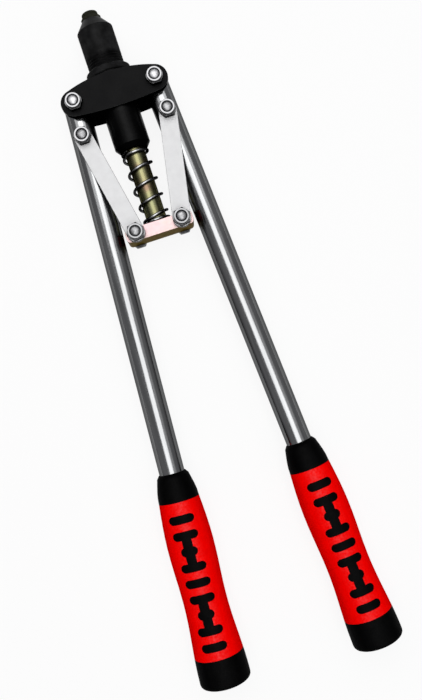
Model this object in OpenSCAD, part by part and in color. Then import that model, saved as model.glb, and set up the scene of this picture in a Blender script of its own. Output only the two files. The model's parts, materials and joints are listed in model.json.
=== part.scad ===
// Two-handed riveter, lying flat with its arms closed.
// Origin: centre of the nosepiece's front face. +Y leaves the nose, +Z is the nut side, +X is right.
// Heights in the modules are measured from the line through the two head pivots.

/* [Head] */
// Distance between the two arm pivots
pivot_spacing = 52; // [51:0.5:54]
// Gap between the two plates, in which the arm tubes turn
plate_gap = 17; // [16.8:0.1:17.6]
// Thickness of each plate
plate_thickness = 4.5; // [4:0.25:5]
// Height of a plate's upper edge above the pivots, at the middle
plate_rise = 12.6; // [11:0.2:13]
// Depth of a plate's lower edge below the pivots, at the middle
plate_drop = 9.7; // [9.2:0.1:11]
// Radius of a plate's round ends
plate_end_radius = 8.2; // [7.6:0.1:8.6]
// Diameter of the barrel that guides the rod
barrel_diameter = 22.8; // [21:0.2:24]
// Distance from the pivots to the barrel's lower end
barrel_length = 35.6; // [33:0.2:38]

/* [Nose] */
// Distance from the pivots to the nosepiece's front face
nose_reach = 56.4; // [56:0.1:58]
// Diameter of the nose housing
housing_diameter = 23; // [22.6:0.1:24]
// Height of the housing's shoulder, where its cone starts
housing_shoulder = 44.3; // [43:0.1:45]
// Height of the housing's front face
housing_top = 51.1; // [50.5:0.1:52]
// Rim diameter of the lock ring
ring_diameter = 28.4; // [26:0.2:30]
// Diameter of the hole for the rivet's mandrel
mandrel_hole = 3.4; // [2.6:0.1:3.6]
// Width across flats of the nosepiece's hexagon
nosepiece_flats = 11; // [10:0.5:12]

/* [Pull rod] */
// Diameter of the rod
rod_diameter = 12.8; // [12:0.1:13]
// Outer diameter of the jaw case
case_diameter = 16.8; // [16.4:0.1:17]
// Half angle of the cone that closes the jaws
jaw_cone_angle = 10.5; // [10:0.1:11]
// Height of the jaw case's front face with the arms closed
case_top = 27; // [26:0.1:27.5]
// Width of the crossbar
crossbar_width = 43.2; // [40:0.2:44]
// Height of the crossbar
crossbar_height = 8.2; // [8:0.1:9.5]
// Depth of the crossbar, from front to rear
crossbar_depth = 18.3; // [17.4:0.1:18.6]

/* [Return spring] */
// Wire diameter
spring_wire = 1.9; // [1.6:0.1:2]
// Outer diameter of the coil
spring_outer = 18; // [17:0.1:18.2]
// Open turns between the closed end turns
spring_open_turns = 4; // [3:0.5:5]

/* [Links] */
// Distance between a link's two pivots
link_length = 67.4; // [66.5:0.1:68.5]
// Width of a link bar
link_width = 11.4; // [10.6:0.1:12]
// Thickness of a link bar
link_thickness = 3.05; // [2.5:0.05:3.2]
// Distance between the two pivots in the crossbar
crossbar_spacing = 29.6; // [28:0.2:30]
// Distance from the head pivot to the link pivot, along the arm
link_offset = 21.3; // [20.5:0.1:22]

/* [Arms] */
// Angle of each arm to the tool's axis when closed
arm_angle = 3.5; // [3:0.1:4]
// Outer diameter of the arm tube
tube_diameter = 16; // [15.6:0.1:16]
// Wall thickness of the arm tube
tube_wall = 1.5; // [1.2:0.1:2]

/* [Grips] */
// Distance from the head pivot to the left grip's upper shoulder, below its bevel
grip_start = 237; // [232:0.5:240]
// How much further down the right grip sits
right_grip_shift = 6.3; // [0:0.1:8]
// Length of the black collar above the red sleeve
collar_length = 15; // [13:0.5:17]
// Length of the red sleeve
sleeve_length = 96.5; // [94:0.5:99]
// Length of the black end below the red sleeve
cap_length = 18.4; // [18:0.1:22]
// Thickness of the red sleeve
sleeve_thickness = 2.2; // [1.8:0.1:2.6]
// Diameter where the sleeve starts
grip_neck = 25.6; // [25:0.1:27]
// Diameter of the upper swell
grip_swell = 29.2; // [28.5:0.1:30]
// Diameter of the waist
grip_waist = 27.1; // [26.6:0.1:28.4]
// Diameter of the lower end
grip_end = 32; // [31:0.1:33]
// Distance between neighbouring bars of the pad pattern
pad_pitch = 9.8; // [9.4:0.1:10]
// How far the pads are turned outwards round the grip, in degrees
pad_turn = 3.4; // [0:0.1:5]

/* [Fasteners] */
// Diameter of the pivot bolts
bolt_diameter = 6; // [5.6:0.1:6]
// Width across flats of nuts and bolt heads
nut_flats = 10; // [9:0.5:10]
// Height of a lock nut, with its collar
nut_height = 6; // [5.8:0.1:6.4]
// Height of a bolt head
bolt_head = 4; // [3.6:0.1:4.2]

/* [Hidden] */
$fn = 96;
left = -1;
right = 1;
eps = 0.01;
overshoot = 1;

// Fits: radial play of a turning or sliding fit, of a screwed fit, and of parts that only pass
running_play = 0.05;
thread_play = 0.02;
pass_play = 0.2;

half_spacing = pivot_spacing / 2;
plate_face = plate_gap / 2 + plate_thickness;
web_half_width = 17;
boss_radius = plate_face - 0.1;
boss_top = plate_rise + 0.6;
barrel_end_radius = spring_outer / 2;
barrel_chamfer = 3.1;
// Radius that a plate's long arcs run tangent to, just inside its round ends
arc_end_radius = plate_end_radius - 0.02;
arc_sides = 300;

// Heights inside the head and nose
housing_bottom = 4;
thread_radius = housing_diameter / 2 - 0.5;
ring_rim_top = 17.4;
ring_top = 17.7;
ring_rim_edge = 0.5;
ring_rim_rounding = 0.8;
ridge_count = 4;
ridge_pitch = 1.7;
ridge_depth = 0.45;
// Outline of one ridge: shares of the pitch, and of the depth
ridge_outline = [[0.1, 1], [0.45, 0], [0.65, 0], [0.95, 1]];
case_radius = case_diameter / 2;
chamber_radius = case_radius + pass_play;
chamber_bottom = -10.5;
housing_front_wall = 42.5;
housing_tip_radius = 6.35;
nose_thread_radius = 5;
nosepiece_hex_height = 2.4;
nosepiece_tip_radius = 5.2;
nosepiece_tip_rounding = 1.2;
nosepiece_tail_radius = 3.2;
nosepiece_length = 17.5;
nosepiece_tail_end = nose_reach - nosepiece_length;

// Jaw case, jaws, pusher and their spring
rod_radius = rod_diameter / 2;
case_bore = rod_radius + thread_play;
case_bottom = -5;
case_mouth_radius = 3.6;
case_mouth_chamfer = 0.8;
cone_top = case_top - 4.2;
cone_top_radius = 3.9;
cone_bottom = cone_top - (case_bore - cone_top_radius) / tan(jaw_cone_angle);
jaw_top = case_top - 4.8;
jaw_bottom = cone_bottom + 0.2;
jaw_play = 0.03;
jaw_split = 0.8;
jaw_bore = 1.5;
jaw_groove_pitch = 1.2;
jaw_groove_depth = 0.3;
jaw_groove_half_width = 0.3;
jaw_groove_start = 1.1;
pusher_bottom = 2.5;
pusher_radius = 6.3;
pusher_bore = 2.2;
pusher_tip_radius = 3.4;
pusher_tip_height = 1.6;
rod_top = -0.5;
rod_chamfer = 0.6;
rod_pocket_radius = 5;
rod_pocket_depth = 5.5;
lock_ring_height = 4;
lock_ring_notch = 2;
jaw_spring_wire = 1;
jaw_spring_radius = 4.2;
jaw_spring_open_turns = 3;

// The linkage at rest: the link pivot on the arm, and the crossbar pivot below it
link_pivot_x = half_spacing + link_offset * sin(arm_angle);
link_pivot_y = -link_offset * cos(arm_angle);
crossbar_x = crossbar_spacing / 2;
link_reach_x = link_pivot_x - crossbar_x;
crossbar_y = link_pivot_y - sqrt(link_length * link_length - link_reach_x * link_reach_x);
link_angle = asin(link_reach_x / link_length);
crossbar_pivot_depth = 3.7;
crossbar_top = crossbar_y + crossbar_pivot_depth;
crossbar_corner = 2.4;
crossbar_nut_turn = 11;
rod_thread_radius = 5;
rod_thread_length = 6;

// The link pivot's hole in the tube is larger than its bolt and a little nearer the head
slot_radius = bolt_diameter / 2 + 1.42;
slot_shift = [-0.45, 1.25];

bolt_radius = bolt_diameter / 2;
bolt_proud = 0.7;
// Domed end of a bolt: how far in from its side, and how far below its end
bolt_dome = [[0, 1], [0.3, 0.6], [1, 0.26], [2, 0.05]];
hex_edge = 0.15;
hex_chamfer = 0.45;
hex_chamfer_height = 0.63;
nut_hex_height = 3.9;
nut_collar_radius = 4.65;
nut_collar_rounding = 0.25;
nut_recess_radius = 3.6;
nut_recess_depth = 0.5;
rounding_steps = 4;
link_inner_face = crossbar_depth / 2;
link_outer_face = link_inner_face + link_thickness;
washer_radius = 5.6;
tube_radius = tube_diameter / 2;
tube_end_radius = tube_radius + 1;
grip_end_wall = 13;
tube_end_play = 1;
tube_length = grip_start + collar_length + sleeve_length + cap_length - grip_end_wall - tube_end_play;
bush_radius = 4;
bush_length = plate_gap - 0.2;
washer_play = 0.05;

// Grip outline, as radii at distances from the sleeve's upper edge
swell_place = 29;
waist_place = 64;
cap_rounding = 2.5;
cap_straight = 1;
full_place = sleeve_length + cap_length - cap_rounding - cap_straight;
cap_steps = 3;
collar_lip = 10.1;
collar_bevel = 2.1;
collar_mouth = 8.5;
collar_ease = 0.62;
collar_steps = 4;
outline_steps = 14;
pad_recess = 0.25;
pad_root = 0.1;
pad_gap = 0.06;
pad_bar = [15.5, 5.2];
pad_bump = [10.2, 5.6];
pad_stem = 6;
pad_count = 9;
pad_middle = 49.5;
pad_sides = 32;

closed_gap = 0.1;
spring_sides = 8;
spring_steps = 20;
spring_start = 270;
small_spring_sides = 6;
small_spring_steps = 14;

black_paint = [0.09, 0.09, 0.10];
black_oxide = [0.14, 0.14, 0.14];
yellow_zinc = [0.78, 0.72, 0.42];
white_zinc = [0.88, 0.88, 0.88];
bright_zinc = [0.75, 0.76, 0.78];
chrome = [0.80, 0.82, 0.84];
spring_steel = [0.35, 0.36, 0.38];
tool_steel = [0.45, 0.45, 0.47];
black_rubber = [0.05, 0.05, 0.05];
red_rubber = [0.90, 0.06, 0.03];

// Ease from 0 to 1, its first quarter alone, and an ease from value a at place p to b at place q
function ease(t) = (1 - cos(180 * t)) / 2;
function rise(t) = sin(90 * t);
function eased(d, p, q, a, b) = a + (b - a) * ease((d - p) / (q - p));

// Grip radius at distance d below the sleeve's upper edge
function grip_radius(d) =
    d <= 0
        ? let (part = ease(-d / collar_length * collar_ease) / ease(collar_ease))
          grip_neck / 2 + (collar_lip - grip_neck / 2) * part
    : d < swell_place ? (grip_neck + (grip_swell - grip_neck) * rise(d / swell_place)) / 2
    : d < waist_place ? eased(d, swell_place, waist_place, grip_swell, grip_waist) / 2
    : d < full_place ? eased(d, waist_place, full_place, grip_waist, grip_end) / 2
    : grip_end / 2;

// Points of the grip's outline between two distances, thinner by inset
function grip_points(d0, d1, steps, inset) =
    [for (i = [0 : steps]) let (d = d0 + (d1 - d0) * i / steps) [grip_radius(d) - inset, -d]];

// Radius of the arc that rises h at the middle and runs tangent into both plate ends
function plate_arc(h) =
    (half_spacing * half_spacing + h * h - arc_end_radius * arc_end_radius) / (2 * (h - arc_end_radius));

// Point where that arc meets the right end's circle, with up as 1 or -1
function arc_joint(h, up) =
    let (r = plate_arc(h), k = arc_end_radius / (r - arc_end_radius))
    [half_spacing * (1 + k), up * k * (r - h)];

// Points of a quarter round from the side at radius r to the top at height h, rounded by e
function rounding(r, h, e) =
    [for (i = [0 : rounding_steps]) let (a = 90 * i / rounding_steps)
        [r - e * (1 - cos(a)), h - e * (1 - sin(a))]];

// Height along a coil after so many turns, with one closed turn at each end
function coil_height(turn, open_turns, wire, length) =
    let (closed = wire + closed_gap, pitch = (length - wire - 2 * closed) / open_turns)
    turn < 1 ? closed * turn
    : turn < 1 + open_turns ? closed + pitch * (turn - 1)
    : closed + pitch * open_turns + closed * (turn - 1 - open_turns);

// Moves a piece from the pivot line to the part's frame
module from_pivots() {
    translate([0, -nose_reach, 0]) children();
}

// Turned piece about the tool's axis, from [radius, height] points
module turned(points) {
    rotate([-90, 0, 0]) rotate_extrude() polygon(points);
}

// Round bar about the tool's axis between two heights
module round_bar(radius, low, high) {
    translate([0, low, 0]) rotate([-90, 0, 0]) cylinder(r = radius, h = high - low);
}

// Pin or hole along Z, between two levels
module upright(radius, low, high) {
    translate([0, 0, low]) cylinder(r = radius, h = high - low);
}

// Hexagon about Z with both edges chamfered to a circle
module chamfered_hex(flats, low, high) {
    corner = flats / sqrt(3);
    height = high - low;
    translate([0, 0, low]) intersection() {
        cylinder(r = corner, h = height, $fn = 6);
        rotate_extrude() polygon([
            [0, 0], [flats / 2 + hex_edge, 0], [corner + hex_chamfer, hex_chamfer_height],
            [corner + hex_chamfer, height - hex_chamfer_height], [flats / 2 + hex_edge, height], [0, height]
        ]);
    }
}

// Bolt along Z: head below the level low, shank up to its domed end at the level high
module hex_bolt(low, high) {
    chamfered_hex(nut_flats, low - bolt_head, low);
    translate([0, 0, low]) rotate_extrude() polygon(concat(
        [[0, -overshoot], [bolt_radius, -overshoot]],
        [for (point = bolt_dome) [bolt_radius - point[0], high - low - point[1]]],
        [[0, high - low]]
    ));
}

// Lock nut standing on the level low: a hexagon, and a rolled collar that holds a locking ring
module lock_nut(low) {
    difference() {
        union() {
            chamfered_hex(nut_flats, low, low + nut_hex_height);
            translate([0, 0, low]) rotate_extrude() polygon(concat(
                [[0, nut_hex_height / 2], [nut_collar_radius, nut_hex_height / 2]],
                rounding(nut_collar_radius, nut_height, nut_collar_rounding), [[0, nut_height]]
            ));
        }
        upright(bolt_radius + thread_play, low - overshoot, low + nut_height + overshoot);
        upright(nut_recess_radius, low + nut_height - nut_recess_depth, low + nut_height + overshoot);
    }
}

// Coil spring about the tool's axis, standing on the height low
module coil(low, length, radius, wire, open_turns, sides, steps, phase) {
    rings = ceil((open_turns + 2) * steps);
    points = [
        for (i = [0 : rings], j = [0 : sides - 1])
            let (turn = (open_turns + 2) * i / rings)
            let (angle = phase + 360 * turn, around = 360 * j / sides)
            let (r = radius + wire / 2 * cos(around))
            let (y = low + wire / 2 + coil_height(turn, open_turns, wire, length))
            [r * sin(angle), y + wire / 2 * sin(around), r * cos(angle)]
    ];
    sides_faces = [
        for (i = [0 : rings - 1], j = [0 : sides - 1])
            let (k = (j + 1) % sides)
            [i * sides + j, i * sides + k, (i + 1) * sides + k, (i + 1) * sides + j]
    ];
    first_end = [for (j = [0 : sides - 1]) sides - 1 - j];
    last_end = [for (j = [0 : sides - 1]) rings * sides + j];
    polyhedron(points, concat([first_end], sides_faces, [last_end]), convexity = 10);
}

// Outline of a head plate: two round ends joined by two shallow arcs
module plate_outline() {
    upper_radius = plate_arc(plate_rise);
    lower_radius = plate_arc(plate_drop);
    upper = arc_joint(plate_rise, 1);
    lower = arc_joint(plate_drop, -1);
    cut = [[upper[0], 2 * plate_rise], upper, lower, [lower[0], -2 * plate_drop]];
    intersection() {
        translate([0, plate_rise - upper_radius]) circle(r = upper_radius, $fn = arc_sides);
        translate([0, lower_radius - plate_drop]) circle(r = lower_radius, $fn = arc_sides);
        polygon(concat(cut, [for (i = [3 : -1 : 0]) [-cut[i][0], cut[i][1]]]));
    }
    for (side = [left, right]) translate([side * half_spacing, 0]) circle(r = plate_end_radius);
}

module head_casting() {
    color(black_paint) from_pivots() difference() {
        union() {
            for (side = [left, right])
                translate([0, 0, side > 0 ? plate_gap / 2 : -plate_face])
                    linear_extrude(plate_thickness) plate_outline();
            translate([0, 0, -plate_gap / 2 - overshoot]) linear_extrude(plate_gap + 2 * overshoot)
                intersection() {
                    plate_outline();
                    square([2 * web_half_width, plate_rise * 4], center = true);
                }
            round_bar(boss_radius, 0, boss_top);
            turned([
                [0, -barrel_length], [barrel_end_radius, -barrel_length],
                [barrel_diameter / 2, -barrel_length + barrel_chamfer], [barrel_diameter / 2, 1], [0, 1]
            ]);
        }
        round_bar(thread_radius + thread_play, housing_bottom, boss_top + overshoot);
        round_bar(chamber_radius, chamber_bottom, housing_bottom + eps);
        round_bar(rod_radius + running_play, -barrel_length - overshoot, chamber_bottom + eps);
        for (side = [left, right]) translate([side * half_spacing, 0, 0])
            upright(bolt_radius + running_play, -plate_face - overshoot, plate_face + overshoot);
    }
}

module nose_housing() {
    body_radius = housing_diameter / 2;
    ridges_top = ring_top + ridge_count * ridge_pitch;
    color(black_oxide) from_pivots() difference() {
        turned(concat(
            [[0, housing_bottom], [thread_radius, housing_bottom], [thread_radius, ring_top]],
            [for (i = [0 : ridge_count - 1], point = ridge_outline)
                [body_radius - point[1] * ridge_depth, ring_top + (i + point[0]) * ridge_pitch]],
            [[body_radius, ridges_top + ridge_pitch / 2], [body_radius, housing_shoulder],
             [housing_tip_radius, housing_top], [0, housing_top]]
        ));
        round_bar(chamber_radius, housing_bottom - overshoot, housing_front_wall);
        round_bar(nose_thread_radius + thread_play, housing_front_wall - eps, housing_top + overshoot);
    }
}

module housing_lock_ring() {
    rim = ring_diameter / 2;
    color(black_oxide) from_pivots() difference() {
        turned(concat(
            [[0, boss_top], [rim - ring_rim_edge, boss_top], [rim, boss_top + ring_rim_edge]],
            rounding(rim, ring_rim_top, ring_rim_rounding),
            [[housing_diameter / 2, ring_top], [0, ring_top]]
        ));
        round_bar(thread_radius + thread_play, boss_top - overshoot, ring_top + overshoot);
    }
}

module nosepiece() {
    hex_top = housing_top + nosepiece_hex_height;
    color(black_oxide) from_pivots() difference() {
        union() {
            translate([0, housing_top, 0]) rotate([-90, 0, 0])
                chamfered_hex(nosepiece_flats, 0, nosepiece_hex_height);
            round_bar(nose_thread_radius, housing_front_wall, housing_top + overshoot);
            round_bar(nosepiece_tail_radius, nosepiece_tail_end, housing_front_wall + overshoot);
            turned(concat(
                [[0, hex_top - overshoot], [nosepiece_tip_radius, hex_top - overshoot]],
                rounding(nosepiece_tip_radius, nose_reach, nosepiece_tip_rounding), [[0, nose_reach]]
            ));
        }
        round_bar(mandrel_hole / 2, nosepiece_tail_end - overshoot, nose_reach + overshoot);
    }
}

// Bolt through both plates, with its head at the rear
module head_pivot_bolt(side) {
    color(bright_zinc) from_pivots() translate([side * half_spacing, 0, 0])
        hex_bolt(-plate_face, plate_face + nut_height + bolt_proud);
}

module head_pivot_nut(side) {
    color(bright_zinc) from_pivots() translate([side * half_spacing, 0, 0]) lock_nut(plate_face);
}

module return_spring() {
    length = -barrel_length - crossbar_top;
    color(spring_steel) from_pivots()
        coil(crossbar_top, length, (spring_outer - spring_wire) / 2, spring_wire,
             spring_open_turns, spring_sides, spring_steps, spring_start);
}

module pull_rod() {
    color(yellow_zinc) from_pivots() difference() {
        turned([
            [0, crossbar_top - rod_thread_length], [rod_thread_radius, crossbar_top - rod_thread_length],
            [rod_thread_radius, crossbar_top], [rod_radius, crossbar_top],
            [rod_radius, rod_top - rod_chamfer], [rod_radius - rod_chamfer, rod_top], [0, rod_top]
        ]);
        round_bar(rod_pocket_radius, rod_top - rod_pocket_depth, rod_top + overshoot);
    }
}

// Rectangle with round corners, centred
module round_rectangle(width, height, radius) {
    square([width, height - 2 * radius], center = true);
    square([width - 2 * radius, height], center = true);
    for (x = [-1, 1], y = [-1, 1])
        translate([x * (width / 2 - radius), y * (height / 2 - radius)]) circle(r = radius);
}

module crossbar() {
    thread_end = crossbar_top - rod_thread_length;
    color(yellow_zinc) from_pivots() difference() {
        translate([0, crossbar_top - crossbar_height / 2, -crossbar_depth / 2])
            linear_extrude(crossbar_depth)
                round_rectangle(crossbar_width, crossbar_height, crossbar_corner);
        round_bar(rod_thread_radius + thread_play, thread_end, crossbar_top + overshoot);
        for (side = [left, right]) translate([side * crossbar_x, crossbar_y, 0])
            upright(bolt_radius + thread_play, -crossbar_depth, crossbar_depth);
    }
}

module crossbar_bolt(side) {
    color(bright_zinc) from_pivots() translate([side * crossbar_x, crossbar_y, 0])
        hex_bolt(-link_outer_face, link_outer_face + nut_height + bolt_proud);
}

module crossbar_nut(side) {
    color(bright_zinc) from_pivots() translate([side * crossbar_x, crossbar_y, 0])
        rotate([0, 0, crossbar_nut_turn]) lock_nut(link_outer_face);
}

// Cone-bored case: the narrow end of the cone is at the nose
module jaw_case() {
    color(tool_steel) from_pivots() difference() {
        turned([
            [0, case_bottom], [case_radius, case_bottom], [case_radius, case_top - case_mouth_chamfer],
            [case_radius - case_mouth_chamfer, case_top], [0, case_top]
        ]);
        turned([
            [0, case_bottom - overshoot], [case_bore, case_bottom - overshoot], [case_bore, cone_bottom],
            [cone_top_radius, cone_top], [case_mouth_radius, cone_top],
            [case_mouth_radius, case_top + overshoot], [0, case_top + overshoot]
        ]);
    }
}

module jaw_case_lock_ring() {
    color(tool_steel) from_pivots() difference() {
        round_bar(case_radius, case_bottom - lock_ring_height, case_bottom);
        round_bar(case_bore, case_bottom - lock_ring_height - overshoot, case_bottom + overshoot);
        for (turn = [0, 90, 180, 270]) rotate([0, turn, 0])
            translate([case_radius, case_bottom - lock_ring_height / 2, 0])
                cube([lock_ring_notch, lock_ring_height + overshoot, lock_ring_notch], center = true);
    }
}

module jaw_spring() {
    low = rod_top - rod_pocket_depth;
    color(spring_steel) from_pivots()
        coil(low, pusher_bottom - low, jaw_spring_radius, jaw_spring_wire,
             jaw_spring_open_turns, small_spring_sides, small_spring_steps, 0);
}

// Half of a cone, bored and grooved to grip the mandrel, hollow at the rear for the pusher
module jaw(side) {
    slope = tan(jaw_cone_angle);
    top_radius = cone_top_radius + (cone_top - jaw_top) * slope - jaw_play;
    bottom_radius = cone_top_radius + (cone_top - jaw_bottom) * slope - jaw_play;
    grooves = floor((jaw_top - jaw_bottom - 2 * pusher_tip_height) / jaw_groove_pitch);
    color(tool_steel) from_pivots() difference() {
        turned([[0, jaw_bottom], [bottom_radius, jaw_bottom], [top_radius, jaw_top], [0, jaw_top]]);
        round_bar(jaw_bore, jaw_bottom - overshoot, jaw_top + overshoot);
        for (i = [0 : grooves - 1])
            translate([0, jaw_top - jaw_groove_start - i * jaw_groove_pitch, 0]) turned([
                [0, jaw_groove_half_width], [jaw_bore + jaw_groove_depth, 0], [0, -jaw_groove_half_width]
            ]);
        turned([
            [0, jaw_bottom - overshoot], [pusher_tip_radius + overshoot, jaw_bottom - overshoot],
            [pusher_tip_radius, jaw_bottom], [0, jaw_bottom + pusher_tip_radius]
        ]);
        translate([side * (jaw_split / 2 - case_radius), (jaw_top + jaw_bottom) / 2, 0])
            cube([2 * case_radius, jaw_top - jaw_bottom + 2 * overshoot, 2 * case_radius], center = true);
    }
}

module jaw_pusher() {
    tip_base = pusher_tip_radius;
    tip_top = pusher_tip_radius - pusher_tip_height;
    color(tool_steel) from_pivots() difference() {
        turned([
            [0, pusher_bottom], [pusher_radius, pusher_bottom], [pusher_radius, jaw_bottom - jaw_play],
            [tip_base - jaw_play, jaw_bottom - jaw_play],
            [tip_top, jaw_bottom + pusher_tip_height - 2 * jaw_play],
            [0, jaw_bottom + pusher_tip_height - 2 * jaw_play]
        ]);
        round_bar(jaw_bore, pusher_bottom - overshoot, jaw_top);
        round_bar(pusher_bore, pusher_bottom - overshoot, jaw_bottom - pusher_tip_height);
    }
}

// Flat bar between the crossbar pivot and the arm pivot, on the front or the rear
module link_bar(side, low) {
    color(white_zinc) from_pivots() translate([side * crossbar_x, crossbar_y, low])
        rotate([0, 0, -side * link_angle]) difference() {
            union() {
                for (y = [0, link_length]) translate([0, y, 0]) upright(link_width / 2, 0, link_thickness);
                translate([-link_width / 2, 0, 0]) cube([link_width, link_length, link_thickness]);
            }
            for (y = [0, link_length]) translate([0, y, 0])
                upright(bolt_radius + running_play, -overshoot, link_thickness + overshoot);
        }
}

module at_link_pivot(side) {
    from_pivots() translate([side * link_pivot_x, link_pivot_y, 0]) children();
}

module link_bolt(side) {
    color(bright_zinc) at_link_pivot(side)
        hex_bolt(-link_outer_face, link_outer_face + nut_height + bolt_proud);
}

module link_nut(side) {
    color(bright_zinc) at_link_pivot(side) lock_nut(link_outer_face);
}

// Two spacers that fill the room between the tube and the bars
module link_washers(side) {
    color(bright_zinc) at_link_pivot(side)
        for (low = [tube_radius + washer_play, -link_inner_face]) difference() {
            upright(washer_radius, low, low + link_inner_face - tube_radius - washer_play);
            upright(bolt_radius + thread_play, low - overshoot, low + overshoot * 3);
        }
}

// Places an arm's pieces: drawn down -Y from the head pivot
module on_arm(side) {
    from_pivots() translate([side * half_spacing, 0, 0]) rotate([0, 0, side * arm_angle]) children();
}

module arm_tube(side) {
    color(chrome) on_arm(side) difference() {
        intersection() {
            round_bar(tube_radius, -tube_length, tube_end_radius);
            union() {
                translate([-2 * tube_radius, -tube_length - overshoot, -2 * tube_radius])
                    cube([4 * tube_radius, tube_length, 4 * tube_radius]);
                translate([0, -overshoot, 0]) upright(tube_end_radius, -2 * tube_radius, 2 * tube_radius);
            }
        }
        round_bar(tube_radius - tube_wall, -tube_length - overshoot, tube_end_radius + overshoot);
        upright(bush_radius + thread_play, -2 * tube_radius, 2 * tube_radius);
        translate([0, -link_offset, 0]) rotate([0, 0, -side * arm_angle])
            translate([side * slot_shift[0], slot_shift[1], 0])
                upright(slot_radius, -2 * tube_radius, 2 * tube_radius);
    }
}

module pivot_bush(side) {
    color(bright_zinc) on_arm(side) difference() {
        upright(bush_radius, -bush_length / 2, bush_length / 2);
        upright(bolt_radius + running_play, -bush_length, bush_length);
    }
}

// Bar with round ends, centred
module pad_shape(size) {
    square([size[0] - size[1], size[1]], center = true);
    for (x = [-1, 1]) translate([x * (size[0] - size[1]) / 2, 0]) circle(d = size[1], $fn = pad_sides);
}

// The pad pattern as columns through the grip: single bars, and pairs joined by a stem with a bump
module pad_columns(side, grow) {
    first = pad_middle - (pad_count - 1) * pad_pitch / 2;
    wider = [2 * grow, 2 * grow];
    rotate([0, side * pad_turn, 0]) {
        for (i = [0 : pad_count - 1]) translate([0, -first - i * pad_pitch, -grip_end])
            linear_extrude(2 * grip_end) pad_shape((i % 4 == 2 ? pad_bump : pad_bar) + wider);
        for (i = [2 : 4 : pad_count - 1]) translate([0, -first - i * pad_pitch, -grip_end])
            linear_extrude(2 * grip_end) square([pad_stem + 2 * grow, 2 * pad_pitch], center = true);
    }
}

// Ring about the arm's axis that holds the sleeve's space, less an inset all round
module sleeve_space(inset_out, inset_in) {
    turned(concat(
        grip_points(0, sleeve_length, outline_steps, inset_out),
        [for (i = [0 : outline_steps]) let (d = sleeve_length * (1 - i / outline_steps))
            [grip_radius(d) - sleeve_thickness + inset_in, -d]]
    ));
}

module grip_core(side) {
    shift = side > 0 ? right_grip_shift : 0;
    end = sleeve_length + cap_length;
    cap_points = [for (point = rounding(grip_radius(end), end, cap_rounding)) [point[0], -point[1]]];
    color(black_rubber) on_arm(side) translate([0, -grip_start - collar_length - shift, 0]) union() {
        difference() {
            turned(concat(
                [[0, collar_length + collar_bevel], [collar_mouth, collar_length + collar_bevel]],
                grip_points(-collar_length, 0, collar_steps, 0),
                grip_points(0, sleeve_length, outline_steps, sleeve_thickness),
                grip_points(sleeve_length, full_place, cap_steps, 0),
                cap_points, [[0, -end]]
            ));
            round_bar(tube_radius + thread_play, -end + grip_end_wall,
                      collar_length + collar_bevel + overshoot);
        }
        intersection() {
            sleeve_space(pad_recess, -pad_root);
            pad_columns(side, 0);
        }
    }
}

module grip_sleeve(side) {
    shift = side > 0 ? right_grip_shift : 0;
    color(red_rubber) on_arm(side) translate([0, -grip_start - collar_length - shift, 0]) difference() {
        sleeve_space(0, thread_play);
        pad_columns(side, pad_gap);
    }
}

head_casting();
nose_housing();
housing_lock_ring();
nosepiece();
head_pivot_bolt(left);  // head_pivot_bolt_left
head_pivot_bolt(right);  // head_pivot_bolt_right
head_pivot_nut(left);  // head_pivot_nut_left
head_pivot_nut(right);  // head_pivot_nut_right
return_spring();
pull_rod();
crossbar();
crossbar_bolt(left);  // crossbar_bolt_left
crossbar_bolt(right);  // crossbar_bolt_right
crossbar_nut(left);  // crossbar_nut_left
crossbar_nut(right);  // crossbar_nut_right
jaw_case();
jaw_case_lock_ring();
jaw_spring();
jaw(left);  // jaw_left
jaw(right);  // jaw_right
jaw_pusher();
link_bar(left, link_inner_face);  // left_link_front
link_bar(left, -link_outer_face);  // left_link_rear
link_bolt(left);  // left_link_bolt
link_nut(left);  // left_link_nut
link_washers(left);  // left_link_washers
link_bar(right, link_inner_face);  // right_link_front
link_bar(right, -link_outer_face);  // right_link_rear
link_bolt(right);  // right_link_bolt
link_nut(right);  // right_link_nut
link_washers(right);  // right_link_washers
arm_tube(left);  // left_arm_tube
pivot_bush(left);  // left_pivot_bush
grip_core(left);  // left_grip_core
grip_sleeve(left);  // left_grip_sleeve
arm_tube(right);  // right_arm_tube
pivot_bush(right);  // right_pivot_bush
grip_core(right);  // right_grip_core
grip_sleeve(right);  // right_grip_sleeve
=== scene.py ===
import json
import math

import bmesh
import bpy
from mathutils import Matrix, Vector

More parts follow.
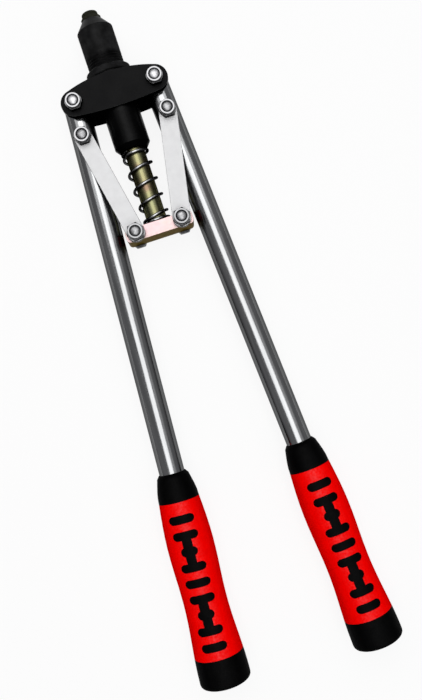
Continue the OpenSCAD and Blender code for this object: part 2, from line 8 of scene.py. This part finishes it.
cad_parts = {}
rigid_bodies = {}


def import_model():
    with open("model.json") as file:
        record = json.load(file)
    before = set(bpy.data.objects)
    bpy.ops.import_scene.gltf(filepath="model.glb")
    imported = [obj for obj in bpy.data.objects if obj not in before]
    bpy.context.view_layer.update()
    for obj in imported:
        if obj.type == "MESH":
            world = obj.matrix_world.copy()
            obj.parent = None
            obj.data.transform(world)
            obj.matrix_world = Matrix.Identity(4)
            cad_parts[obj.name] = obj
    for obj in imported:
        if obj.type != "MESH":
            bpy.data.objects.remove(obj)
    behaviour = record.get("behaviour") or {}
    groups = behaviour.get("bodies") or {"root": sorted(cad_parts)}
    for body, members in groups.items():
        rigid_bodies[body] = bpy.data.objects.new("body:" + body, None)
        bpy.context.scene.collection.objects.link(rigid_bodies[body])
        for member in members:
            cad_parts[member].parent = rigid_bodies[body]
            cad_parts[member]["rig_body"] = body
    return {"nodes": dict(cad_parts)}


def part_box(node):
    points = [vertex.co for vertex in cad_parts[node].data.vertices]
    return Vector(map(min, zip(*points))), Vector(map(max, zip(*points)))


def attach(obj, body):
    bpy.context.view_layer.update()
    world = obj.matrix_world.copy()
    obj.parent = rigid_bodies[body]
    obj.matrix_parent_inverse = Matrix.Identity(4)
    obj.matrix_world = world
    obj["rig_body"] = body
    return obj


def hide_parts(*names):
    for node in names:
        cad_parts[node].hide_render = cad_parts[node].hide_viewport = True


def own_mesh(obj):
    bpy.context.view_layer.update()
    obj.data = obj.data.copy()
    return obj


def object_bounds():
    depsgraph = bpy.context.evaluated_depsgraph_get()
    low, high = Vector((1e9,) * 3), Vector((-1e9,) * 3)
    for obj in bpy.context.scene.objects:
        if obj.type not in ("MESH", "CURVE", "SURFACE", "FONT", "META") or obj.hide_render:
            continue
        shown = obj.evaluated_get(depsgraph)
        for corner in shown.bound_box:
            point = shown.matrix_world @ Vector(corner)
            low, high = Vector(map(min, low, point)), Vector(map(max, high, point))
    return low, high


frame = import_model()
cad_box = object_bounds()
scene = bpy.context.scene


# Camera, half a metre above the tool, which lies on its back with the nose pointing up and to
# the left. Its place and turn were found from the six pivots, the nose and the grips' ends.
VIEW_HEIGHT_PIXELS = 700
FOCAL_PIXELS = 790
SENSOR_WIDTH = 36
CAMERA_PLACE = (-0.00266, -0.2405, 0.4926)
CAMERA_TURN = (1.916, -0.493, -18.269)
camera_data = bpy.data.cameras.new("camera")
camera_data.sensor_width = SENSOR_WIDTH
camera_data.lens = FOCAL_PIXELS / VIEW_HEIGHT_PIXELS * SENSOR_WIDTH
camera = bpy.data.objects.new("camera", camera_data)
camera.location = CAMERA_PLACE
camera.rotation_euler = [math.radians(angle) for angle in CAMERA_TURN]
scene.collection.objects.link(camera)
scene.camera = camera
scene.view_settings.view_transform = "Standard"


# Studio: a pale table under the tool in a dim grey room, a long soft lamp overhead, which draws
# the bright line down the chrome, a wider dim one to its right, and a soft lamp beyond each end.
FLOOR_COLOUR = (0.9, 0.9, 0.9, 1)
FLOOR_HALF_SIZE = 3
FLOOR_GAP = 0.00005
FLOOR_GLOW = 0.88
FLOOR_ROUGHNESS = 0.9
ROOM_COLOUR = (0.18, 0.18, 0.185, 1)


floor_shape = bmesh.new()
bmesh.ops.create_grid(floor_shape, x_segments=1, y_segments=1, size=FLOOR_HALF_SIZE)
tool_middle = (cad_box[0] + cad_box[1]) / 2
floor_place = (tool_middle.x, tool_middle.y, cad_box[0].z - FLOOR_GAP)
bmesh.ops.translate(floor_shape, verts=floor_shape.verts, vec=floor_place)
floor_mesh = bpy.data.meshes.new("floor")
floor_shape.to_mesh(floor_mesh)
floor_shape.free()
floor = bpy.data.objects.new("floor", floor_mesh)
scene.collection.objects.link(floor)


def combined(tree, operation, first, second):
    """Two masks put together by this operation of a Math node."""
    node = tree.nodes.new("ShaderNodeMath")
    node.operation = operation
    tree.links.new(first, node.inputs[0])
    tree.links.new(second, node.inputs[1])
    return node.outputs["Value"]


def pale_table():
    """A matt sheet. Camera, metal and glass see some plain white mixed in, and its shadows."""
    material = bpy.data.materials.new("pale_table")
    material.use_nodes = True
    tree = material.node_tree
    shader = tree.nodes["Principled BSDF"]
    shader.inputs["Base Color"].default_value = FLOOR_COLOUR
    shader.inputs["Roughness"].default_value = FLOOR_ROUGHNESS
    shader.inputs["Specular IOR Level"].default_value = 0
    rays = tree.nodes.new("ShaderNodeLightPath")
    seen = rays.outputs["Is Camera Ray"]
    for ray in ("Is Glossy Ray", "Is Transmission Ray"):
        seen = combined(tree, "MAXIMUM", seen, rays.outputs[ray])
    share = tree.nodes.new("ShaderNodeMath")
    share.operation = "MULTIPLY"
    share.inputs[1].default_value = FLOOR_GLOW
    glow = tree.nodes.new("ShaderNodeEmission")
    mixed = tree.nodes.new("ShaderNodeMixShader")
    tree.links.new(seen, share.inputs[0])
    tree.links.new(share.outputs["Value"], mixed.inputs["Fac"])
    tree.links.new(shader.outputs["BSDF"], mixed.inputs[1])
    tree.links.new(glow.outputs["Emission"], mixed.inputs[2])
    tree.links.new(mixed.outputs["Shader"], tree.nodes["Material Output"].inputs["Surface"])
    return material


floor_mesh.materials.append(pale_table())


def soft_lamp(name, place, size, power):
    """A rectangular lamp that faces the middle of the tool."""
    lamp_data = bpy.data.lights.new(name, "AREA")
    lamp_data.shape = "RECTANGLE"
    lamp_data.size, lamp_data.size_y = size
    lamp_data.energy = power
    lamp = bpy.data.objects.new(name, lamp_data)
    lamp.location = place
    lamp.rotation_euler = (tool_middle - Vector(place)).to_track_quat("-Z", "X").to_euler()
    scene.collection.objects.link(lamp)


soft_lamp("overhead", place=(0.01, tool_middle.y, 1.1), size=(0.75, 1.9), power=8.6)
soft_lamp("right_side", place=(0.30, tool_middle.y, 1.12), size=(1.25, 2.2), power=2.4)
soft_lamp("nose_end", place=(0.0, 0.5, 1.0), size=(0.7, 1.9), power=3.9)
soft_lamp("grip_end", place=(0.0, -1.3, 0.85), size=(0.6, 1.2), power=0.8)
world = bpy.data.worlds.new("dim_room")
world.use_nodes = True
world.node_tree.nodes["Background"].inputs["Color"].default_value = ROOM_COLOUR
world.node_tree.nodes["Background"].inputs["Strength"].default_value = 1
scene.world = world


# Head: one iron casting, two long plates joined by a web round the bored barrel that guides the
# rod. It is fettled, so its edges are a little round, and painted satin black.
PLATE_EDGE = 0.0005
PLATE_FACE_FROM = 0.0122
PLATE_FACE_TO = 0.0128
SHARP_ANGLE = 28
NOISE_LOW = 0.3
NOISE_HIGH = 0.7
MERGE_DISTANCE = 0.000002
FLAT_ANGLE = 0.4
CRISP_ANGLE = 35


def new_finish(name, **values):
    """A material, its nodes and its shader, whose sockets get these fixed values."""
    material = bpy.data.materials.new(name)
    material.use_nodes = True
    shader = material.node_tree.nodes["Principled BSDF"]
    for socket, value in values.items():
        shader.inputs[socket.replace("_", " ")].default_value = value
    return material, material.node_tree, shader


def grain(tree, size, stretch=(1, 1, 1), detail=4):
    """Noise with marks of this size, longer along an axis whose stretch is above 1."""
    place = tree.nodes.new("ShaderNodeTexCoord")
    mapping = tree.nodes.new("ShaderNodeMapping")
    noise = tree.nodes.new("ShaderNodeTexNoise")
    mapping.inputs["Scale"].default_value = [1 / (size * longer) for longer in stretch]
    noise.inputs["Scale"].default_value = 1
    noise.inputs["Detail"].default_value = detail
    tree.links.new(place.outputs["Object"], mapping.inputs["Vector"])
    tree.links.new(mapping.outputs["Vector"], noise.inputs["Vector"])
    return noise.outputs["Fac"]


def shade(tree, mask, *stops):
    """Colour that follows a mask through these (mask value, colour) stops."""
    ramp = tree.nodes.new("ShaderNodeValToRGB")
    while len(ramp.color_ramp.elements) < len(stops):
        ramp.color_ramp.elements.new(0.5)
    for element, (position, colour) in zip(ramp.color_ramp.elements, stops):
        element.position = position
        element.color = (*colour, 1)
    tree.links.new(mask, ramp.inputs["Fac"])
    return ramp.outputs["Color"]


def remapped(tree, mask, low, high, first, last):
    """Number that goes from first to last as the mask goes from low to high."""
    remap = tree.nodes.new("ShaderNodeMapRange")
    for socket, value in zip(("From Min", "From Max", "To Min", "To Max"), (low, high, first, last)):
        remap.inputs[socket].default_value = value
    tree.links.new(mask, remap.inputs["Value"])
    return remap.outputs["Result"]


def between(tree, noise, first, last):
    """Number that goes from first to last over a noise's middle range."""
    return remapped(tree, noise, NOISE_LOW, NOISE_HIGH, first, last)


def relief(tree, shader, *layers):
    """Surface relief from (mask, depth in metres) layers, one on top of the other."""
    for mask, depth in layers:
        bump = tree.nodes.new("ShaderNodeBump")
        bump.inputs["Distance"].default_value = depth
        tree.links.new(mask, bump.inputs["Height"])
        before = shader.inputs["Normal"].links
        if before:
            tree.links.new(before[0].from_socket, bump.inputs["Normal"])
        tree.links.new(bump.outputs["Normal"], shader.inputs["Normal"])


def blended(tree, mask, first, second):
    """Colour that goes from the first to the second as the mask goes from 0 to 1."""
    mixed = tree.nodes.new("ShaderNodeMix")
    mixed.data_type = "RGBA"
    tree.links.new(mask, mixed.inputs["Factor"])
    tree.links.new(first, mixed.inputs["A"])
    tree.links.new(second, mixed.inputs["B"])
    return mixed.outputs["Result"]


def facing(tree, source, axis, low, high, first=0, last=1):
    """Mask from first to last as the size of this coordinate's X, Y or Z goes from low to high."""
    place = tree.nodes.new("ShaderNodeTexCoord")
    split = tree.nodes.new("ShaderNodeSeparateXYZ")
    tree.links.new(place.outputs[source], split.inputs["Vector"])
    size = tree.nodes.new("ShaderNodeMath")
    size.operation = "ABSOLUTE"
    tree.links.new(split.outputs[axis], size.inputs[0])
    return remapped(tree, size.outputs["Value"], low, high, first, last)


def black_paint():
    """Painted shade below the plates' faces; paler plates' faces, with a painted highlight along their
    edges.
    """
    material, tree, shader = new_finish("black_paint")
    patches = grain(tree, 0.009)
    # Painted shade: everything below the plates' faces, the web and the barrel, is darker.
    shade_below_plates = shade(tree, patches, (0.35, (0.0004, 0.0004, 0.0005)), (0.65, (0.0011, 0.0011, 0.0012)))
    flats = shade(tree, patches, (0.35, (0.0075, 0.0075, 0.0078)), (0.65, (0.0095, 0.0095, 0.0098)))
    # Painted highlight along the plates' rounded edges.
    edges = shade(tree, patches, (0.35, (0.04, 0.04, 0.041)), (0.65, (0.06, 0.06, 0.061)))
    highlighted_tone = blended(tree, facing(tree, "Normal", "Z", 0.9, 0.99), edges, flats)
    on_plates = facing(tree, "Object", "Z", PLATE_FACE_FROM, PLATE_FACE_TO)
    tree.links.new(blended(tree, on_plates, shade_below_plates, highlighted_tone), shader.inputs["Base Color"])
    gloss = combined(tree, "MULTIPLY", facing(tree, "Normal", "Y", 0.3, 0.7, first=1, last=0),
                     facing(tree, "Object", "Z", PLATE_FACE_FROM, PLATE_FACE_TO, first=0.07, last=0.018))
    tree.links.new(gloss, shader.inputs["Specular IOR Level"])
    tree.links.new(between(tree, grain(tree, 0.003), 0.26, 0.36), shader.inputs["Roughness"])
    relief(tree, shader, (grain(tree, 0.0022, detail=2), 0.00006), (grain(tree, 0.0005), 0.00003))
    return material


def make_piece(name, shape, body, finish):
    """Turns a shape into a smooth piece with crisp edges that rides on a body."""
    piece_mesh = bpy.data.meshes.new(name)
    shape.to_mesh(piece_mesh)
    shape.free()
    piece_mesh.shade_smooth()
    piece_mesh.set_sharp_from_angle(angle=math.radians(CRISP_ANGLE))
    piece_mesh.materials.append(finish)
    piece = bpy.data.objects.new(name, piece_mesh)
    scene.collection.objects.link(piece)
    weighted = piece.modifiers.new("weighted_normals", "WEIGHTED_NORMAL")
    weighted.keep_sharp = True
    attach(piece, body)
    return piece


def copied_shape(node):
    """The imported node's shape as whole faces: its loose triangles merged, its flats dissolved."""
    copy = frame["nodes"][node].data.copy()
    copy.attributes.remove(copy.attributes["custom_normal"])
    shape = bmesh.new()
    shape.from_mesh(copy)
    bmesh.ops.remove_doubles(shape, verts=shape.verts, dist=MERGE_DISTANCE)
    bmesh.ops.dissolve_limit(shape, angle_limit=math.radians(FLAT_ANGLE), verts=shape.verts,
                             edges=shape.edges, use_dissolve_boundaries=False)
    bare_edges = [edge for edge in shape.edges if not edge.link_faces]
    bmesh.ops.delete(shape, geom=bare_edges, context="EDGES")
    return shape


def round_edges(shape, radius, angle, segments):
    """Rounds every edge that turns by more than the angle."""
    sharp = [edge for edge in shape.edges
             if len(edge.link_faces) == 2 and edge.calc_face_angle() > math.radians(angle)]
    bmesh.ops.bevel(shape, geom=sharp, offset=radius, offset_type="OFFSET", affect="EDGES",
                    segments=segments, profile=0.5, material=-1, clamp_overlap=True)


def rounded_node(node, radius, finish, angle=SHARP_ANGLE, segments=2):
    """Stands for a node whose edges are rounded as the real piece's are."""
    shape = copied_shape(node)
    round_edges(shape, radius, angle, segments)
    body = frame["nodes"][node]["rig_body"]
    piece = make_piece(f"{node}_finished", shape, body, finish)
    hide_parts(node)
    return piece


rounded_node("head_casting", PLATE_EDGE, black_paint())


# Nose: the housing screws into the head and is held by a lock ring. Both are turned steel with
# a black oxide finish. The nosepiece, with its hexagon, screws into the housing's front.
# Painted shade on the housing's thread starts this far behind the nose.
SHADED_THREAD_FROM = 0.029
THREAD_SHADE_FADE = 0.002
NO_THREAD_SHADE = 1
HOLLOW_TONE = 0.4
THREAD_SHADE_TONE = 0.08
THREAD_EDGE = 0.00012
THREAD_ANGLE = 20
RING_EDGE = 0.0003
NOSEPIECE_EDGE = 0.0002


def black_oxide(name, tint, shaded_from=NO_THREAD_SHADE):
    """Black steel of this tint, with painted shade over the thread from a distance behind the nose."""
    material, tree, shader = new_finish(name)
    patches = grain(tree, 0.005)
    dark = [HOLLOW_TONE * channel for channel in tint]
    darkest = [THREAD_SHADE_TONE * channel for channel in tint]
    unshaded = shade(tree, patches, (0.35, dark), (0.65, tint))
    # Painted shade over the thread: darker from a distance behind the nose.
    painted_shade_tone = shade(tree, patches, (0.35, darkest), (0.65, dark))
    behind = facing(tree, "Object", "Y", shaded_from, shaded_from + THREAD_SHADE_FADE)
    tree.links.new(blended(tree, behind, unshaded, painted_shade_tone), shader.inputs["Base Color"])
    gloss = facing(tree, "Normal", "X", 0.5, 0.9, first=0.04, last=0.004)
    tree.links.new(gloss, shader.inputs["Specular IOR Level"])
    tool_marks = grain(tree, 0.00035, stretch=(300, 1, 300), detail=2)
    tree.links.new(between(tree, tool_marks, 0.28, 0.45), shader.inputs["Roughness"])
    relief(tree, shader, (tool_marks, 0.00002), (grain(tree, 0.0004), 0.00001))
    return material


housing_finish = black_oxide("black_oxide", (0.0145, 0.0145, 0.015), SHADED_THREAD_FROM)
ring_finish = black_oxide("black_oxide_ring", (0.0145, 0.0145, 0.015))
nosepiece_finish = black_oxide("black_oxide_olive", (0.024, 0.025, 0.015))
rounded_node("nose_housing", THREAD_EDGE, housing_finish, angle=THREAD_ANGLE)
rounded_node("housing_lock_ring", RING_EDGE, ring_finish)
rounded_node("nosepiece", NOSEPIECE_EDGE, nosepiece_finish)


# Pivot bolts and nuts: bright zinc plated steel. The bolts' heads are at the rear and the lock
# nuts in front, on the head's pivots, the crossbar's and the links'. Each nut is a hexagon with a
# collar, which holds a nylon ring. The hexagon is painted darker than the collar, as painted
# shade, and the head pivot bolts are paler than the others, as a painted highlight.
BOLT_EDGE = 0.00015
NUT_EDGE = 0.00008
BLUE_CAST = 1.02
COLLAR_HEIGHT = 0.0015
NYLON_SECTION = [(0.00304, 0.00048), (0.00358, 0.00048), (0.00358, 0.0003), (0.00346, 0.0002),
                 (0.00316, 0.0002), (0.00304, 0.0003)]
NYLON_SIDES = 40


def zinc_plate(name, dull, bright, smooth=0.16, rough=0.24):
    """Zinc that varies between two greys and two roughnesses."""
    material, tree, shader = new_finish(name, Metallic=1.0, Specular_Tint=(0.3, 0.3, 0.3, 1))
    dull_tint, bright_tint = [(grey, grey, BLUE_CAST * grey) for grey in (dull, bright)]
    tree.links.new(shade(tree, grain(tree, 0.0016), (0.3, dull_tint), (0.7, bright_tint)),
                   shader.inputs["Base Color"])
    tree.links.new(between(tree, grain(tree, 0.0007), smooth, rough), shader.inputs["Roughness"])
    relief(tree, shader, (grain(tree, 0.0009), 0.000003))
    return material


def dark_nylon():
    """Matt and nearly black, with a trace of blue."""
    material, tree, shader = new_finish("dark_nylon", Specular_IOR_Level=0.1)
    patches = grain(tree, 0.002)
    tree.links.new(shade(tree, patches, (0.3, (0.008, 0.009, 0.012)), (0.7, (0.014, 0.015, 0.018))),
                   shader.inputs["Base Color"])
    tree.links.new(between(tree, grain(tree, 0.0006), 0.45, 0.6), shader.inputs["Roughness"])
    relief(tree, shader, (grain(tree, 0.0005), 0.00001))
    return material


def locking_ring(nut, finish):
    """The nylon ring that the nut's collar holds, as a small section spun about the bolt."""
    low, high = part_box(nut)
    middle = (low + high) / 2
    shape = bmesh.new()
    section = [shape.verts.new((middle.x + radius, middle.y, high.z - depth))
               for radius, depth in NYLON_SECTION]
    edges = [shape.edges.new(ends) for ends in zip(section, section[1:] + section[:1])]
    bmesh.ops.spin(shape, geom=section + edges, cent=(middle.x, middle.y, 0), axis=(0, 0, 1),
                   angle=2 * math.pi, steps=NYLON_SIDES, use_merge=True)
    bmesh.ops.recalc_face_normals(shape, faces=shape.faces)
    return make_piece(f"{nut}_nylon", shape, frame["nodes"][nut]["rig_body"], finish)


collar_zinc = zinc_plate("bright_zinc", dull=0.24, bright=0.30)
# Painted shade: the nuts' hexagons are darker than their collars.
shaded_hex_zinc = zinc_plate("shaded_hex_zinc", dull=0.07, bright=0.12)
bolt_zinc = zinc_plate("bolt_zinc", dull=0.24, bright=0.42, smooth=0.34, rough=0.44)
# Painted highlight: the head pivot bolts' zinc is paler than the other bolts'.
highlighted_pivot_zinc = zinc_plate("highlighted_pivot_zinc", dull=0.5, bright=0.62, smooth=0.38, rough=0.46)
for node in ("head_pivot_bolt_left", "head_pivot_bolt_right"):
    rounded_node(node, BOLT_EDGE, highlighted_pivot_zinc)
for node in ("crossbar_bolt_left", "crossbar_bolt_right", "left_link_bolt", "right_link_bolt",
             "left_link_washers", "right_link_washers", "left_pivot_bush", "right_pivot_bush"):
    rounded_node(node, BOLT_EDGE, bolt_zinc)
nylon = dark_nylon()
for node in ("head_pivot_nut_left", "head_pivot_nut_right", "crossbar_nut_left", "crossbar_nut_right",
             "left_link_nut", "right_link_nut"):
    nut = rounded_node(node, NUT_EDGE, collar_zinc)
    nut.data.materials.append(shaded_hex_zinc)
    # Faces below the collar get the hexagon's painted shade.
    collar_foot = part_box(node)[1].z - COLLAR_HEIGHT
    for face in nut.data.polygons:
        face.material_index = 1 if face.center.z < collar_foot else 0
    locking_ring(node, nylon)


# Return spring: oil-hardened steel wire wound round the rod, with one closed turn at each end.
# It stands on the crossbar, pushes against the barrel, and is squeezed as the rod rises; here the wire rides
# with the head at one length.
SPRING_WIRE = 0.0019
SPRING_OPEN_TURNS = 4
SPRING_START_ANGLE = 330
CLOSED_GAP = 0.0001


def spring_steel():
    """Bright where the wire faces the front or the rear, as a painted highlight, and darker elsewhere, as
    painted shade.
    """
    material, tree, shader = new_finish("spring_steel", Metallic=1.0, Specular_Tint=(0.02, 0.02, 0.02, 1))
    patches = grain(tree, 0.004)
    # Painted shade on the wire's sides.
    painted_shade_tone = shade(tree, patches, (0.3, (0.09, 0.09, 0.093)), (0.7, (0.14, 0.14, 0.144)))
    # Painted highlight on the wire's front and rear.
    highlighted_tone = shade(tree, patches, (0.3, (0.33, 0.33, 0.33)), (0.7, (0.43, 0.43, 0.43)))
    tree.links.new(blended(tree, facing(tree, "Normal", "Z", 0.7, 0.93), painted_shade_tone, highlighted_tone),
                   shader.inputs["Base Color"])
    tree.links.new(between(tree, grain(tree, 0.0012), 0.1, 0.17), shader.inputs["Roughness"])
    relief(tree, shader, (grain(tree, 0.0006, detail=2), 0.000001))
    return material


def wound_coil(node, wire, open_turns, start_angle, sides=12, steps=40):
    """Wire wound round the tool's axis in a node's box, starting at an angle from +Z to +X."""
    low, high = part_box(node)
    shape = bmesh.new()
    closed_rise = wire + CLOSED_GAP
    open_rise = (high.y - low.y - wire - 2 * closed_rise) / open_turns
    start = (Matrix.Rotation(math.radians(start_angle), 4, "Y")
             @ Matrix.Translation((0, low.y + wire / 2, high.z - wire / 2))
             @ Matrix.Rotation(math.radians(90), 4, "Y"))
    bmesh.ops.create_circle(shape, cap_ends=True, segments=sides, radius=wire / 2, matrix=start)
    edges = shape.edges[:]
    for turns, rise in ((1, closed_rise), (open_turns, open_rise), (1, closed_rise)):
        spun = bmesh.ops.spin(shape, geom=edges, cent=(0, 0, 0), axis=(0, 1, 0), dvec=(0, rise / steps, 0),
                              angle=2 * math.pi * turns, steps=turns * steps, use_merge=False,
                              use_duplicate=False)
        edges = [item for item in spun["geom_last"] if isinstance(item, bmesh.types.BMEdge)]
    bmesh.ops.contextual_create(shape, geom=edges)
    bmesh.ops.recalc_face_normals(shape, faces=shape.faces)
    return shape


spring_finish = spring_steel()
return_coil = wound_coil("return_spring", SPRING_WIRE, SPRING_OPEN_TURNS, SPRING_START_ANGLE)
return_spring = make_piece("return_spring_wire", return_coil, "head", spring_finish)
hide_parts("return_spring")
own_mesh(return_spring)


# Pull rod and crossbar: turned and milled steel, yellow chromated, which shows as an olive gold
# on the rod and as pink with yellow edges on the bar. The rod screws into the bar.
ROD_EDGE = 0.0002
BAR_EDGE = 0.0005


def yellow_zinc_rod():
    """Olive gold with browner patches, and fine rings from turning."""
    material, tree, shader = new_finish("yellow_zinc_rod", Metallic=1.0, Specular_Tint=(0.05, 0.05, 0.05, 1))
    patches = grain(tree, 0.012, detail=3)
    tree.links.new(shade(tree, patches, (0.32, (0.22, 0.15, 0.10)), (0.45, (0.25, 0.235, 0.12)),
                         (0.68, (0.23, 0.24, 0.13))),
                   shader.inputs["Base Color"])
    rings = grain(tree, 0.0008, stretch=(300, 1, 300), detail=1)
    tree.links.new(between(tree, rings, 0.26, 0.3), shader.inputs["Roughness"])
    relief(tree, shader, (rings, 0.0000005))
    return material


def yellow_zinc_bar():
    """Pink on the front and the rear with gold rims, brown on the sides and dark red on the ends."""
    material, tree, shader = new_finish("yellow_zinc_bar", Metallic=1.0, Specular_Tint=(0.45, 0.4, 0.3, 1))
    patches = grain(tree, 0.006, detail=3)
    sides = shade(tree, patches, (0.35, (0.055, 0.047, 0.018)), (0.55, (0.085, 0.062, 0.026)),
                  (0.68, (0.075, 0.036, 0.022)))
    rims = shade(tree, patches, (0.35, (0.30, 0.27, 0.10)), (0.65, (0.38, 0.30, 0.12)))
    fronts = shade(tree, patches, (0.35, (0.53, 0.38, 0.39)), (0.65, (0.51, 0.39, 0.37)))
    ends = shade(tree, patches, (0.35, (0.14, 0.012, 0.02)), (0.65, (0.10, 0.02, 0.02)))
    sides = blended(tree, facing(tree, "Normal", "X", 0.6, 0.9), sides, ends)
    edged = blended(tree, facing(tree, "Normal", "Z", 0.2, 0.5), sides, rims)
    tree.links.new(blended(tree, facing(tree, "Normal", "Z", 0.85, 0.97), edged, fronts),
                   shader.inputs["Base Color"])
    tree.links.new(between(tree, grain(tree, 0.002), 0.3, 0.4), shader.inputs["Roughness"])
    relief(tree, shader, (grain(tree, 0.0012, detail=2), 0.000004))
    return material


rounded_node("pull_rod", ROD_EDGE, yellow_zinc_rod())
rounded_node("crossbar", BAR_EDGE, yellow_zinc_bar())


# Jaw set: a hardened case screwed on the rod, its lock ring, two jaws, their pusher and spring.
# It is closed in the housing, and shows only through the nosepiece's hole.
JAW_EDGE = 0.0001
JAW_SPRING_WIRE = 0.001
JAW_SPRING_OPEN_TURNS = 3


def tool_steel():
    """Bare steel with fine rings from grinding."""
    material, tree, shader = new_finish("tool_steel", Metallic=1.0)
    tree.links.new(shade(tree, grain(tree, 0.004), (0.3, (0.26, 0.26, 0.27)), (0.7, (0.42, 0.42, 0.43))),
                   shader.inputs["Base Color"])
    rings = grain(tree, 0.0003, stretch=(300, 1, 300), detail=2)
    tree.links.new(between(tree, rings, 0.22, 0.38), shader.inputs["Roughness"])
    relief(tree, shader, (rings, 0.00001))
    return material


hardened = tool_steel()
for node in ("jaw_case", "jaw_case_lock_ring", "jaw_left", "jaw_right", "jaw_pusher"):
    rounded_node(node, JAW_EDGE, hardened)
jaw_coil = wound_coil("jaw_spring", JAW_SPRING_WIRE, JAW_SPRING_OPEN_TURNS, start_angle=0,
                      sides=10, steps=32)
jaw_spring = make_piece("jaw_spring_wire", jaw_coil, "pull_rod", spring_finish)
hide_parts("jaw_spring")
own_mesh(jaw_spring)


# Links: flat steel bars with round ends, blanked and zinc plated to a matt pale grey, in pairs
# in front of and behind the crossbar and the arms.
LINK_EDGE = 0.0006
INNER_SIDE = 0.0098
OUTER_SIDE = 0.0112


def white_zinc():
    """Bright on the outer flats; darker on the sheared edges, partly duller finish and partly painted shade,
    and on the inner sides as painted shade.
    """
    material, tree, shader = new_finish("white_zinc", Metallic=0.08, Specular_IOR_Level=0.1)
    patches = grain(tree, 0.006)
    # Painted shade, in part the sheared edges' duller finish: the edges, and the inner sides that face the
    # parts between each pair.
    dull_edge_and_shade = shade(tree, patches, (0.3, (0.09, 0.09, 0.095)), (0.7, (0.14, 0.14, 0.145)))
    flats = shade(tree, patches, (0.3, (0.74, 0.74, 0.745)), (0.7, (0.80, 0.80, 0.805)))
    outer = blended(tree, facing(tree, "Normal", "Z", 0.93, 0.995), dull_edge_and_shade, flats)
    tree.links.new(blended(tree, facing(tree, "Object", "Z", INNER_SIDE, OUTER_SIDE), dull_edge_and_shade, outer),
                   shader.inputs["Base Color"])
    tree.links.new(between(tree, grain(tree, 0.001), 0.45, 0.6), shader.inputs["Roughness"])
    relief(tree, shader, (grain(tree, 0.0007), 0.00002))
    return material


link_finish = white_zinc()
for side_name in ("left", "right"):
    for face in ("front", "rear"):
        rounded_node(f"{side_name}_link_{face}", LINK_EDGE, link_finish, segments=3)


# Arms: chromed steel tubes, cut square at the lower end. Each turns on a plated bush between
# the head's plates.
TUBE_EDGE = 0.0002


def chrome():
    """Bright along the front and the rear, and darker along the sides as a painted dark reflection."""
    material, tree, shader = new_finish("chrome", Metallic=1.0, Specular_Tint=(0.4, 0.4, 0.4, 1))
    drawn = grain(tree, 0.002, stretch=(1, 30, 1), detail=2)
    # Painted dark reflection along the tube's sides.
    sides = shade(tree, drawn, (0.35, (0.12, 0.122, 0.124)), (0.65, (0.15, 0.152, 0.154)))
    fronts = shade(tree, drawn, (0.35, (0.35, 0.355, 0.36)), (0.65, (0.42, 0.425, 0.43)))
    tree.links.new(blended(tree, facing(tree, "Normal", "Z", 0.68, 0.8), sides, fronts),
                   shader.inputs["Base Color"])
    tree.links.new(between(tree, drawn, 0.15, 0.2), shader.inputs["Roughness"])
    relief(tree, shader, (drawn, 0.000001))
    return material


chromed = chrome()
for side_name in ("left", "right"):
    rounded_node(f"{side_name}_arm_tube", TUBE_EDGE, chromed)


# Grips: a black rubber core pushed on the tube, with a red sleeve moulded over it. The core's
# pads stand in the sleeve's windows, on the front and on the rear.
GRIP_EDGE = 0.0003
GRIP_ANGLE = 40


def black_rubber():
    """Matt and nearly black, with a little more sheen on the front and the rear."""
    material, tree, shader = new_finish("black_rubber")
    patches = grain(tree, 0.004)
    tree.links.new(shade(tree, patches, (0.3, (0.0006, 0.0006, 0.0007)), (0.7, (0.0014, 0.0014, 0.0015))),
                   shader.inputs["Base Color"])
    gloss = facing(tree, "Normal", "Z", 0.8, 1, first=0.012, last=0.05)
    tree.links.new(gloss, shader.inputs["Specular IOR Level"])
    tree.links.new(between(tree, grain(tree, 0.001), 0.5, 0.72), shader.inputs["Roughness"])
    relief(tree, shader, (grain(tree, 0.0005, detail=2), 0.00004))
    return material


def red_rubber():
    """Fine grained, and polished by the hand along its front and rear; darker red on the sides is painted
    shade.
    """
    material, tree, shader = new_finish("red_rubber")
    patches = grain(tree, 0.005)
    # Painted shade: the sides are a darker red than the front and the rear.
    sides = shade(tree, patches, (0.3, (0.75, 0.0002, 0.0001)), (0.7, (0.85, 0.0005, 0.0002)))
    fronts = shade(tree, patches, (0.3, (0.93, 0.0004, 0.0002)), (0.7, (1.0, 0.0008, 0.0003)))
    tree.links.new(blended(tree, facing(tree, "Normal", "Z", 0.35, 0.75), sides, fronts),
                   shader.inputs["Base Color"])
    polish = combined(tree, "MULTIPLY", facing(tree, "Normal", "Z", 0.8, 1),
                      between(tree, grain(tree, 0.0013, detail=2), 0, 0.34))
    tree.links.new(polish, shader.inputs["Specular IOR Level"])
    tree.links.new(between(tree, grain(tree, 0.0008), 0.3, 0.5), shader.inputs["Roughness"])
    relief(tree, shader, (grain(tree, 0.0009, detail=2), 0.00012))
    return material


core_rubber = black_rubber()
sleeve_rubber = red_rubber()
for side_name in ("left", "right"):
    rounded_node(f"{side_name}_grip_core", GRIP_EDGE, core_rubber, angle=GRIP_ANGLE)
    rounded_node(f"{side_name}_grip_sleeve", GRIP_EDGE, sleeve_rubber, angle=GRIP_ANGLE)
